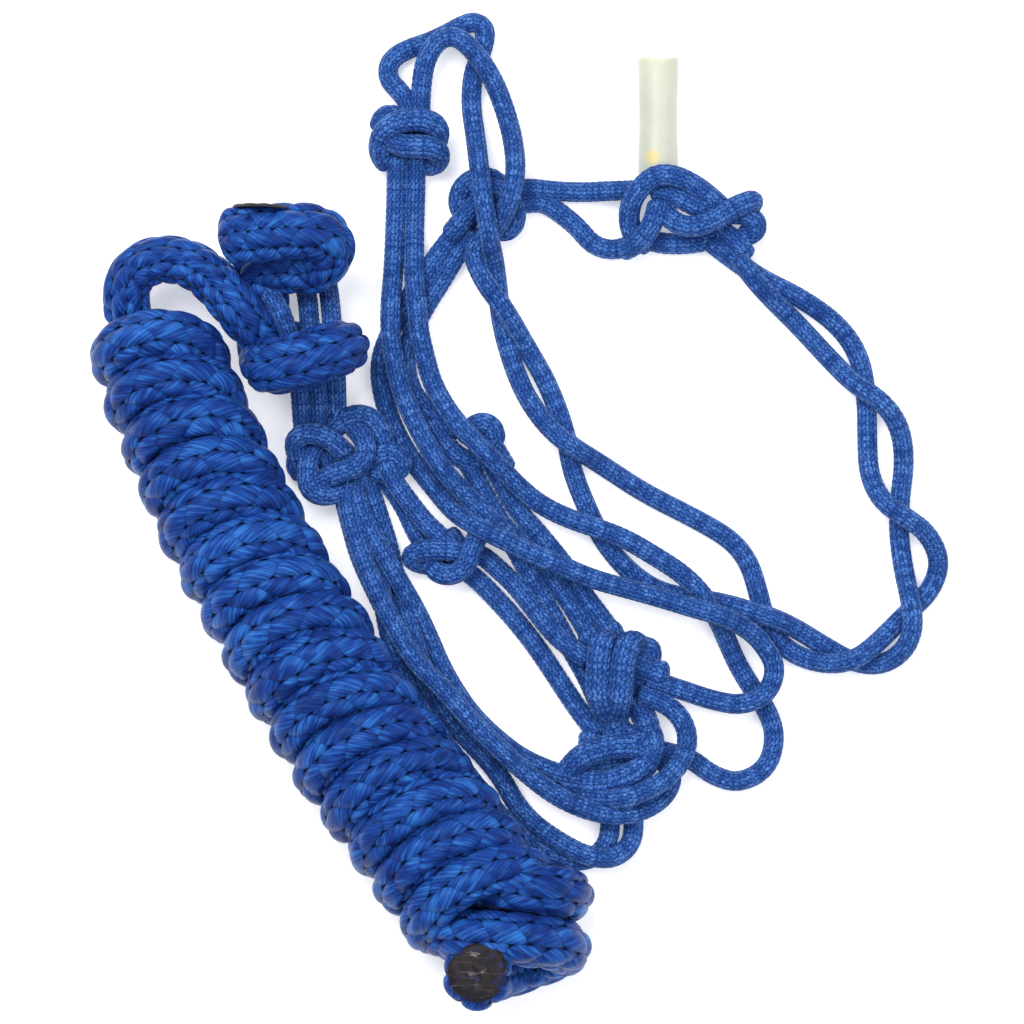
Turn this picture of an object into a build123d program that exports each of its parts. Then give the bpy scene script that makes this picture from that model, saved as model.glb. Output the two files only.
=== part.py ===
"""Rope halter with its hanked lead rope, laid flat as it is stored. Millimetres, +Z up.

The origin is on the surface that it lies on, below the middle of its outline. +Y points to the
crown piece, +X to the loose noseband loops.

The halter is one braided cord, tied into eight knots. Each stretch between two knots is a plain
tube, and each knot is a cushion of the knot's own outline. The lead rope is a thicker braid: a
free run that is hitched through the throat loop, and a hank wound on itself that swings about
the point where the free run leaves it.
"""
import math
import os

from build123d import *

CORD_D = 6.5            # braided halter cord
LEAD_D = 15.0           # braided lead rope
SEAL_T = 1.2            # melted skin on a cut end of the lead rope

SLEEVE_D = 12.2         # plastic sleeve on the two ends of the crown piece
SLEEVE_WALL = 0.9
SLEEVE_X = 44.5
SLEEVE_BOTTOM_Y = 104.0
SLEEVE_TOP_Y = 144.0
TAIL_END_LENGTH = 12.0  # how far the two cord ends reach up inside the sleeve
TAIL_GAP = 0.3          # between the two cord ends
TAIL_CLEARANCE = 0.05   # between the cord ends and the sleeve's inside

HANK_AXIS = [           # middle of the hank from its top to its bottom, in plan
    (-118.5, 61), (-117, 55.5), (-111.5, 38.5), (-94.5, 0.5), (-73, -37.5),
    (-48, -76), (-27.5, -101), (-19, -112.5), (-15.5, -117),
]
HANK_HALF_WIDTH = (21.5, 26.0)    # at the top and at the bottom
HANK_HALF_HEIGHT = (19.0, 22.5)
HANK_END_TAPER = 0.72             # the first and last section, against the turns beside them

END_LOOPS = [           # the two last turns: both ends of each one's middle line, in plan
    ((-16, -125.5), (13.0, -123.0)),
    ((-20, -136.0), (13.5, -138.5)),
]
END_LOOP_R = 8.6
END_LOOP_HEIGHT = 38.0
END_LOOP_RIM_R = 6.0
STUB_CENTRE = (-13.0, -146.5)     # the lead rope's free end stands up here
STUB_R = 11.0
STUB_HEIGHT = 40.0
STUB_RIM_R = 1.3
STUB_SEAL_R = 9.6

# Routes: corner points of each stretch, from one knot to the next. Heights are of the middle of
# the cord, so that a stretch on the surface is half a cord up.
ROUTES = {
    "crown_cord_a": [
        (-34, 124, 8), (-34.5, 130, 8), (-38, 134.5, 6), (-41, 137.5, 4.5), (-41.5, 142, 3.5),
        (-39, 145.5, 3.25), (-34, 148, 3.25), (-29, 149.5, 3.25), (-23.5, 152, 3.25),
        (-18, 155, 3.25), (-14, 156.5, 3.25), (-10.5, 154.5, 3.25), (-10.5, 150.5, 3.25),
        (-12, 145.5, 3.25), (-14.5, 139, 3.25), (-15, 129.5, 3.25), (-13.5, 120, 6),
        (-12.5, 111.5, 13), (-11.5, 102.5, 17), (-10, 93.5, 17), (-9, 86.5, 15), (-7.5, 80, 8),
        (-6.5, 72, 3.25), (-5, 58, 3.25), (1, 41.5, 3.25), (7.5, 31.5, 7), (13.5, 25.5, 10),
        (20, 21.5, 10), (27, 16.5, 3.25), (40, 6.5, 3.25), (58, -2.5, 3.25), (68, -8.5, 3.25),
        (73.5, -15.5, 3.25), (76.5, -25.5, 3.25), (78.5, -34, 3.25), (84, -42.5, 3.25),
        (92.5, -47, 4), (102, -48, 9.75), (109.5, -45, 9.75), (116.5, -39, 4), (123.5, -32, 3.25),
        (131.5, -24.5, 3.25), (134.5, -15, 3.25), (130, -6, 6), (122.5, -1, 10), (115.5, 3.5, 10),
        (111.5, 12, 4), (111, 23.5, 3.25), (111, 35.5, 3.25), (109, 49.5, 3.25), (102, 60, 3.25),
        (90, 68.5, 3.25), (77.5, 74.5, 3.25), (67, 81.5, 4), (60, 87, 6),
    ],
    "crown_cord_b": [
        (-31, 124, 8), (-31, 130, 8), (-30.5, 137, 9), (-29.5, 143, 10), (-27, 148, 10),
        (-23.5, 151, 10), (-19.5, 151, 10), (-16, 148.5, 10), (-12, 144, 10), (-7.5, 137, 7),
        (-4, 128, 4), (-1.5, 118.5, 8), (-0.5, 108, 16), (-2.5, 98.5, 17), (-6, 91.5, 10),
        (-11.5, 87, 8), (-14.5, 82.5, 9), (-12.5, 77, 10), (-9.5, 71.5, 10), (-5.5, 66.5, 10),
        (-2, 61, 9), (2, 54, 4), (8.5, 43, 3.25), (12.5, 33.5, 3.25), (16, 24, 3.25),
        (18, 14, 3.25), (22, 3, 3.25), (27, -7.5, 3.25), (34, -17.5, 3.25), (43.5, -24.5, 3.25),
        (54, -27, 3.25), (62.5, -28, 3.25), (69, -29.5, 6), (75, -31.5, 9.75), (82, -33.5, 9.75),
        (89, -37, 5), (97, -42, 3.25), (106.5, -47.5, 3.25), (115.5, -48.5, 3.25), (122.5, -44, 7),
        (125.5, -36.5, 10), (124.5, -28, 10), (122.5, -17.5, 3.5), (121, -6, 3.25),
        (121.5, 5, 3.25), (123, 16.5, 3.25), (121.5, 27.5, 5), (115.5, 35.5, 10), (106.5, 41, 10),
        (99, 49, 5), (89, 60, 3.5), (80.5, 68, 8), (74, 75, 10), (69.5, 81.5, 10),
    ],
    "cheek_cord_a": [
        (-38.5, 114.5, 8), (-38.5, 105.5, 4), (-39, 91.5, 3.25), (-39.5, 77, 4), (-40.5, 66, 9.75),
        (-40.5, 56, 9.75), (-39, 46.5, 9.75), (-36.5, 37, 9.75), (-29.5, 25.5, 14.5),
        (-22, 14.5, 14.5), (-14.5, 6.5, 10), (-7.5, -1.5, 9.75), (-2, -9, 9.75), (2, -16.5, 8),
        (6.5, -25, 4.5), (12, -34, 3.25), (17, -43.5, 3.25), (22, -52, 3.25), (25.5, -60.5, 3.25),
        (28.5, -67, 4), (30, -73, 6),
    ],
    "cheek_cord_b": [
        (-32.5, 114.5, 8), (-32.5, 105.5, 4), (-33, 92, 3.25), (-33, 83.5, 5), (-33, 74.5, 9.75),
        (-32, 66, 9.75), (-31.5, 58, 9.75), (-29.5, 49.5, 8), (-27, 40.5, 8), (-21, 30.5, 14.5),
        (-14, 23, 15.5), (-7.5, 16.5, 15.5), (-0.5, 10.5, 10), (7.5, 4.5, 7), (16, 0, 9),
        (25, -3.5, 9.75), (34, -8, 9.75), (42.5, -13, 9.75), (52, -19, 9.75), (58.5, -25.5, 9.75),
        (63, -33, 9.75), (66.5, -40.5, 5), (69.5, -47.5, 3.25), (74, -55, 3.25), (79.5, -63, 3.25),
        (82, -71, 3.25), (79.5, -81, 3.25), (70.5, -86, 3.25), (62, -83.5, 3.25), (55, -78, 3.25),
        (48, -76, 4), (41.5, -74.5, 6),
    ],
    "throat_cord_a": [
        (-12, 98.5, 6), (-16, 94, 4), (-21, 88, 3.25), (-27.5, 79.5, 3.25), (-34, 69.5, 3.25),
        (-40, 59, 3.25), (-44, 49, 3.25), (-43.5, 39.5, 3.25), (-40.5, 29, 3.25), (-34.5, 19, 3.25),
        (-26, 9.5, 4), (-19, 2, 9), (-12.5, -3, 14), (-5, -7, 16.25), (4.5, -11.5, 16.25),
        (14, -15.5, 16.25), (24, -20, 12), (35, -24, 10), (46, -27, 13), (55.5, -30, 16.25),
        (65, -32.5, 16.25), (72.5, -36.5, 13), (77.5, -41, 10), (82, -48.5, 10), (79.5, -57, 9.75),
        (71.5, -61, 9.75), (62, -59.5, 8), (50.5, -55.5, 8), (40.5, -52.5, 9),
    ],
    "throat_cord_b": [
        (-14, 91.5, 5), (-16.5, 86.5, 3.5), (-20.5, 80.5, 3.25), (-24.5, 73.5, 3.25),
        (-29.5, 66, 3.25), (-34, 56.5, 3.25), (-34.5, 48.5, 3.25), (-32.5, 40.5, 3.25),
        (-28, 34, 3.25), (-23.5, 28.5, 4), (-19, 24, 6),
    ],
    "eye_cord_a": [
        (-4, 102.5, 6), (2.5, 103.5, 4), (11, 102.5, 3.25), (20.5, 102, 3.25), (30, 102.5, 5),
        (38, 102.5, 9),
    ],
    "eye_cord_b": [
        (-2.5, 97.5, 6), (2, 98.5, 4), (8, 99, 3.25), (13.5, 95.5, 3.25), (19, 91, 3.25),
        (23.5, 85.5, 3.25), (29.5, 83.5, 3.25), (35.5, 85, 3.25), (40.5, 89, 5), (43.5, 93, 9),
    ],
    "fiador_loop_outer": [
        (-68, 24.5, 6), (-68.5, 31.5, 8), (-69, 40.5, 12), (-70.5, 51, 18.5), (-73.5, 60.5, 21),
        (-77.5, 68.5, 20), (-82, 75, 13), (-85, 81, 5), (-82.5, 86.5, 3.25), (-75, 89, 3.25),
        (-67, 86, 3.25), (-62, 79.5, 3.25), (-60, 70.5, 5), (-59, 61.5, 13), (-58, 51.5, 18.5),
        (-57.5, 40.5, 12), (-57.5, 31.5, 8), (-57.5, 24.5, 6),
    ],
    "fiador_loop_inner": [
        (-63, 24.5, 6), (-63, 31.5, 8), (-63.5, 40.5, 12), (-65, 51, 18.5), (-66, 61, 13),
        (-67, 70, 5), (-69.5, 77.5, 3.25), (-73, 83.5, 3.25),
    ],
    "fiador_cord_a": [
        (-53.5, 10.5, 6), (-54.5, 3.5, 8), (-52.5, -4.5, 9.75), (-49.5, -13.5, 11),
        (-45.5, -23, 15), (-41, -32, 16.25), (-36.5, -40.5, 16.25), (-32, -47.5, 16.25),
        (-24, -55, 16.25), (-16, -64.5, 16.25), (-6.5, -74, 16.25), (3, -82.5, 16.25),
        (12, -89.5, 13.5), (21.5, -94, 11), (31, -96, 9.75), (40, -94.5, 8), (47, -90, 4),
        (49.5, -83.5, 3.25), (46, -78, 4), (41, -76.5, 6),
    ],
    "fiador_cord_b": [
        (-50.5, 14, 6), (-52, 7.5, 6), (-49, -2, 9), (-43.5, -11.5, 10), (-38, -21, 9.75),
        (-32.5, -30.5, 6), (-28.5, -39, 3.25), (-25, -47.5, 4), (-20.5, -55.5, 9),
        (-15, -63.5, 9.75), (-7.5, -71, 9.75), (1, -77.5, 9.75), (9.5, -81.5, 7), (18, -84, 6),
        (26, -85, 8), (34.5, -83, 9.75), (42, -78, 9.75), (44, -72.5, 9), (42, -68, 8),
    ],
    "fiador_cord_c": [
        (-48.5, 14, 6), (-47, 7.5, 4), (-44, -1.5, 3.25), (-41, -11, 3.25), (-39, -20, 3.25),
        (-37, -29, 4), (-34, -37.5, 9.75), (-31.5, -45.5, 9.75), (-28.5, -54, 8),
        (-24, -62, 3.5), (-17, -71, 3.25), (-10, -78, 3.25), (-5, -84.5, 3.25), (-1, -92, 3.25),
        (4.5, -98.5, 3.25), (12.5, -104, 6), (21, -108.5, 9.75), (30, -110, 8), (36, -105.5, 4),
        (37, -98.5, 3.25), (36, -91.5, 3.25), (34.5, -84.5, 3.25), (33, -78, 4),
    ],
    "fiador_cord_d": [
        (-56.5, 10.5, 6), (-55, 3.5, 3.25), (-53, -4.5, 3.25), (-50.5, -13.5, 3.25),
        (-46, -23.5, 3.25), (-41.5, -32.5, 3.25), (-36.5, -40.5, 3.25), (-31, -48.5, 3.25),
        (-25, -55.5, 3.25), (-16, -64, 3.25), (-7.5, -74, 3.25), (2, -82, 3.25), (11, -87.5, 3.25),
        (19, -89.5, 4.5), (26, -90.5, 9), (33, -90.5, 14), (40.5, -88, 14), (48, -83.5, 13),
        (53, -77, 10), (54, -69.5, 9.75), (50.5, -63, 9.75), (44, -59, 9), (37.5, -57, 9),
    ],
    "fiador_cord_e": [
        (-52.5, 14.5, 6), (-51.5, 8, 4), (-49, -2, 3.25), (-46, -12.5, 4), (-44, -21, 8),
        (-42.5, -29.5, 9.75), (-41, -38, 9.75), (-38, -46.5, 9.75), (-34, -55.5, 5.5),
        (-28.5, -64.5, 3.25), (-22, -75, 3.25), (-15, -84.5, 3.25), (-8.5, -93, 3.25),
        (-1.5, -101, 3.25), (6.5, -107, 3.25), (15, -110.5, 3.25), (23, -110.5, 3.25),
        (28.5, -105.5, 3.25), (29.5, -98.5, 3.25), (29.5, -91, 3.25), (28.5, -84.5, 3.25),
        (27.5, -78, 4),
    ],
    "nose_cord_a": [
        (-42.5, 17, 10), (-40.5, 10.5, 9.75), (-35.5, 2.5, 9.75), (-30, -4.5, 9), (-24, -9.5, 9),
        (-19.5, -15, 9),
    ],
    "nose_cord_b": [
        (-47, 16, 5), (-42, 9, 3.25), (-37.5, 1.5, 3.25), (-34.5, -5.5, 3.25), (-31, -11.5, 3.25),
        (-25, -17, 4),
    ],
    "nose_cord_c": [
        (-20, -16, 6), (-14, -20, 4), (-8.5, -25.5, 3.25), (-2, -32.5, 3.25), (4.5, -40.5, 3.25),
        (10, -48.5, 3.25), (15.5, -57, 3.25), (21, -65, 4), (26, -71, 6),
    ],
    "nose_cord_d": [
        (-17, -11.5, 6), (-11.5, -13, 4), (-6.5, -17.5, 4), (-1.5, -22, 6), (4.5, -29.5, 9),
        (11, -38, 9.75), (17, -43, 9.75), (23, -47, 9),
    ],
    "chin_cord_a": [
        (-17.5, 18.5, 6), (-13.5, 11.5, 4), (-9, 3, 3.25), (-4.5, -4.5, 3.25), (1.5, -9.5, 3.25),
        (6, -16, 3.25), (11, -21, 3.25), (15.5, -27, 3.25), (20, -34, 4), (23.5, -40.5, 7),
    ],
    "chin_cord_b": [
        (-10.5, 19, 6), (-6.5, 12.5, 4), (-2.5, 4.5, 3.25), (1.5, -1, 3.25), (7, -7, 3.25),
        (12, -13, 3.25), (17, -19.5, 3.25), (21, -26, 3.25), (26, -32.5, 4), (30.5, -38.5, 7),
    ],
    "link_cord_a": [
        (35.5, -57, 6), (39.5, -63, 5), (42, -70, 5), (41.5, -76.5, 6),
    ],
}

LEAD_RUN = [            # out of the hank, through the throat loop, round it and back to its end
    (-124.5, 68, 20.5), (-122.5, 75, 21), (-116.5, 80, 22), (-107.5, 81, 22), (-99.5, 77, 21.5),
    (-93.5, 70.5, 21.5), (-88, 64, 21.5), (-81, 58, 17), (-73.5, 54.5, 9), (-53.5, 52.5, 8),
    (-52.5, 52.5, 31), (-81.5, 50.5, 32), (-82.5, 51, 8), (-79.5, 68, 7.5), (-77, 77.5, 14),
    (-60, 79.5, 16), (-59, 91, 33), (-76, 92, 33), (-82.5, 100, 33),
]

# Knots: height, rounding of the rims, and the outline in plan.
KNOTS = {
    "crown_knot": (15.5, 4.5, [
        (-46, 119), (-42, 126), (-34.5, 129.5), (-25.5, 128), (-22.5, 121), (-23.5, 113.5),
        (-29.5, 109), (-39, 109), (-44, 112.5),
    ]),
    "cheek_ring_knot": (12.5, 2.5, [
        (-22, 100.5), (-17.5, 106.5), (-11.5, 109.5), (-5.5, 109.5), (-2, 105), (2, 96),
        (1, 89), (-4.5, 87), (-12.5, 90.5), (-19.5, 94),
    ]),
    "crown_tie_knot": (16.0, 4.5, [
        (32.5, 98.5), (36.5, 105.5), (44, 110), (55, 109.5), (65, 104), (74, 103.5),
        (78.5, 98), (78.5, 91.5), (72.5, 86.5), (61, 83.5), (45.5, 83.5), (37, 86), (33, 91.5),
    ]),
    "throat_loop_knot": (15.0, 3.5, [
        (-73.5, 18), (-71, 25.5), (-63.5, 30), (-55, 32.5), (-46.5, 33.5), (-39, 26.5),
        (-35.5, 18), (-37, 10), (-44, 7), (-53.5, 3.5), (-64.5, 3.5), (-71, 9.5),
    ]),
    "nose_knot_left": (14.0, 2.0, [
        (-35.5, -13.5), (-31, -10), (-21.5, -9.5), (-14.5, -10.5), (-12.5, -15.5),
        (-16, -22), (-23.5, -24), (-29.5, -22), (-34.5, -18),
    ]),
    "cheek_knot": (11.0, 2.0, [
        (-26, 21), (-22, 27), (-15.5, 31), (-9, 31.5), (-4.5, 27.5), (-4.5, 21), (-9, 15.5),
        (-15.5, 13), (-22.5, 15),
    ]),
    "nose_knot_right": (18.0, 2.5, [
        (21.5, -45.5), (23.5, -39.5), (30, -38.5), (39, -39), (46, -42.5), (46, -49),
        (40.5, -57), (37.5, -61.5), (30.5, -64.5), (25, -62), (21.5, -55.5),
    ]),
    "chin_knot": (13.0, 2.5, [
        (16, -76.5), (20, -71.5), (29.5, -70), (41.5, -70), (43.5, -76), (40.5, -82.5),
        (31, -85), (21.5, -84.5),
    ]),
}
RUN_SHARE = 0.45        # how much of the shorter run an arc of a route takes up


def corner_radii(points):
    """The largest tangent arc that fits at each inner point of a route."""
    corners = [Vector(*point) for point in points]
    radii = []
    for before, corner, after in zip(corners, corners[1:], corners[2:]):
        turn = math.radians((corner - before).get_angle(after - corner))
        shorter = min((corner - before).length, (after - corner).length)
        radii.append(RUN_SHARE * shorter / math.tan(turn / 2))
    return radii


def tube(name, points, diameter):
    """A round tube of straight runs joined by tangent arcs. Prints its radii and checks its volume."""
    radii = corner_radii(points)
    path = FilletPolyline(*points, radius=radii)
    solid = sweep(Plane(path @ 0, z_dir=path % 0) * Circle(diameter / 2), path)
    expected = math.pi * diameter**2 / 4 * path.length
    tightest = min(radii)
    print(
        f"{name}: length {path.length:.0f} mm, tightest arc {tightest:.1f} mm"
        f" ({tightest / diameter:.1f} diameters), volume {solid.volume / expected:.3f} of section x length"
    )
    return solid


def knot(height, edge, outline):
    """A closed cushion with a smooth outline, from the surface up, with rounded rims."""
    profile = make_face(Spline(*outline, periodic=True))
    pad = extrude(profile, height)
    rims = pad.edges().filter_by(GeomType.LINE, reverse=True)
    return fillet(rims, edge)


def sleeve():
    """An open plastic tube along +Y, low enough to rest on the surface."""
    plane = Plane((SLEEVE_X, SLEEVE_BOTTOM_Y, SLEEVE_D / 2), z_dir=(0, 1, 0))
    ring = Circle(SLEEVE_D / 2) - Circle(SLEEVE_D / 2 - SLEEVE_WALL)
    return extrude(plane * ring, SLEEVE_TOP_Y - SLEEVE_BOTTOM_Y)


def crown_tail_ends():
    """The two cut ends of the halter cord, pressed side by side into the sleeve's bottom."""
    plane = Plane((SLEEVE_X, SLEEVE_BOTTOM_Y, SLEEVE_D / 2), z_dir=(0, 1, 0))
    inside = Circle(SLEEVE_D / 2 - SLEEVE_WALL - TAIL_CLEARANCE)
    split = Rectangle(TAIL_GAP, SLEEVE_D)
    return extrude(plane * (inside - split), TAIL_END_LENGTH)


def blend_between(ends, share):
    return ends[0] + (ends[1] - ends[0]) * share


def hank():
    """The wound turns as one closed body: ellipses along a bent axis, wider towards the bottom."""
    axis = [Vector(x, y, 0) for x, y in HANK_AXIS]
    distance = [0.0]
    for here, there in zip(axis, axis[1:]):
        distance.append(distance[-1] + (there - here).length)
    sections = []
    for index, centre in enumerate(axis):
        ahead = axis[min(index + 1, len(axis) - 1)] - axis[max(index - 1, 0)]
        share = distance[index] / distance[-1]
        width = blend_between(HANK_HALF_WIDTH, share)
        height = blend_between(HANK_HALF_HEIGHT, share)
        size = HANK_END_TAPER if index in (0, len(axis) - 1) else 1.0
        middle = Vector(centre.X, centre.Y, height)
        plane = Plane(middle, x_dir=ahead.cross(Vector(0, 0, 1)), z_dir=ahead)
        sections.append(plane * Ellipse(width * size, height * size))
    return loft(sections)


def end_loop(ends):
    """One of the two last turns, as a closed slot-shaped pad."""
    (x0, y0), (x1, y1) = ends
    middle = Vector((x0 + x1) / 2, (y0 + y1) / 2, 0)
    length = math.hypot(x1 - x0, y1 - y0)
    angle = math.degrees(math.atan2(y1 - y0, x1 - x0))
    slot = Pos(middle) * Rot(0, 0, angle) * SlotCenterToCenter(length, 2 * END_LOOP_R)
    pad = extrude(slot, END_LOOP_HEIGHT)
    rims = pad.edges().group_by(Axis.Z)[0] + pad.edges().group_by(Axis.Z)[-1]
    return fillet(rims, END_LOOP_RIM_R)


def end_stub():
    """The free end of the lead rope, standing up beside the last turns."""
    stub = Pos(*STUB_CENTRE, STUB_HEIGHT / 2) * Cylinder(STUB_R, STUB_HEIGHT)
    return fillet(stub.edges().group_by(Axis.Z)[-1], STUB_RIM_R)


def stub_seal():
    return Pos(*STUB_CENTRE, STUB_HEIGHT + SEAL_T / 2) * Cylinder(STUB_SEAL_R, SEAL_T)


def run_seal():
    """The melted end of the free run, square to its last straight stretch."""
    before, end = Vector(*LEAD_RUN[-2]), Vector(*LEAD_RUN[-1])
    plane = Plane(end, z_dir=end - before)
    return extrude(plane * Circle(LEAD_D / 2), SEAL_T)


def save(name, shape):
    """Write one sub-part as a STEP of its separate solids."""
    solids = shape.solids()
    part = solids[0] if len(solids) == 1 else Compound(children=list(solids))
    part.label = name
    export_step(part, f"parts/{name}.step")


os.makedirs("parts", exist_ok=True)
for cord, route in ROUTES.items():
    save(cord, tube(cord, route, CORD_D))
for name, shape in KNOTS.items():
    save(name, knot(*shape))
save("crown_sleeve", sleeve())
save("crown_tail_ends", crown_tail_ends())
save("lead_rope_run", tube("lead_rope_run", LEAD_RUN, LEAD_D))
save("lead_run_seal", run_seal())
save("lead_hank", hank())
save("lead_end_loops", end_loop(END_LOOPS[0]) + end_loop(END_LOOPS[1]))
save("lead_end_stub", end_stub())
save("lead_end_seal", stub_seal())
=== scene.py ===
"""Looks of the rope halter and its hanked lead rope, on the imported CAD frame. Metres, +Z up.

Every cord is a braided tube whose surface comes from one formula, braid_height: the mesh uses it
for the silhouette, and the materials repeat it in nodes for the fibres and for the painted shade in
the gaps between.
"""
import math
from types import SimpleNamespace

import bpy
import numpy as np
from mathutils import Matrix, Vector


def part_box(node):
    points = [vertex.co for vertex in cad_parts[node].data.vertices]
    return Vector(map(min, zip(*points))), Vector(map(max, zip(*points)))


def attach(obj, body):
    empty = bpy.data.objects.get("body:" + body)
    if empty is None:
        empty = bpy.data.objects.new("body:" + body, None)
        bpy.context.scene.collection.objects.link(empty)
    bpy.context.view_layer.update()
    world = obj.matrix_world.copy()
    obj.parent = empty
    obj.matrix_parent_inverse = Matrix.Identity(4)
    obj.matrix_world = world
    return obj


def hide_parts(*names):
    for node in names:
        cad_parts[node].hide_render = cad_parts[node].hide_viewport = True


MM = 0.001
CORD_D = 6.5 * MM
LEAD_D = 15.0 * MM
# Braids: columns of strands round the cord, length of a strand, depth against the radius, and
# how far a strand's ends are cut on the slant, against its length.
HALTER_BRAID = (14, 2.1 * MM, 0.08, 0.8)
RUN_BRAID = (8, 7.5 * MM, 0.15, 0.6)
HANK_BRAID = (6, 9.0 * MM, 0.14, 0.5)
CROWN_SHAPE = 0.6                # power that rounds a strand's crown
END_ROUNDING = 0.6               # how far a cord's end is rounded, against its radius
CORD_POINTS = 36                 # mesh points round a halter cord
LEAD_POINTS = 60                 # mesh points round the lead rope
# How far apart the rings of mesh points are.
CORD_STEP = 0.6 * MM
KNOT_STEP = 0.5 * MM
RUN_STEP = 0.8 * MM
HANK_STEP = 1.1 * MM
TAIL_RINGS = 30
# How light the yarn is, its palest fibres partly painted sheen highlights: shares of its fibres and of
# its clumps, and how much strands differ.
FIBRE_SHARE = 0.55
CLUMP_SHARE = 0.45
STRAND_SHARE = 0.08
FIBRE_RELIEF = 0.45              # height of the fibres, against the strand's own
FIBRE_SLANT = -0.6               # how far fibres lean against the strand's ends
KNOT_LINKS = {"nose_knot_right": ("link_cord_a",)}     # too short to be a cord on its own
# How much thicker the cord is drawn in a knot than outside it.
KNOT_SWELL = {"nose_knot_right": 1.25, "chin_knot": 1.25, "crown_knot": 1.16}
USUAL_KNOT_SWELL = 1.06
SLEEVE_WALL = 0.9 * MM
SLEEVE_SPOT = (0.0425, 0.1128, 0.012)    # where it has yellowed
# The lead rope's two melted ends: middle, the way they face, and the two radii.
HANK_SEAL = ((-0.0126, -0.1432, 0.0402), (-0.12, 0.1, 1), (9.7 * MM, 8.9 * MM))
RUN_SEAL = ((-0.0803, 0.0957, 0.033), (0.03, 1, 0.1), (9.2 * MM, 9.0 * MM))

VIEW_CENTRE = (-0.0019, 0.0004)
VIEW_HEIGHT = 2.0
VIEW_WIDTH = 0.3262              # what the camera sees across, on the floor
SENSOR_WIDTH = 36                # in mm
FLOOR_REACH = 3.0
# Soft lights: name, place, size and power. Both face the middle of the floor.
LIGHTS = (
    ("key", (-0.5, 0.7, 1.5), 1.0, 26),
    ("fill", (0.8, -0.3, 1.4), 1.2, 11),
)

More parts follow.
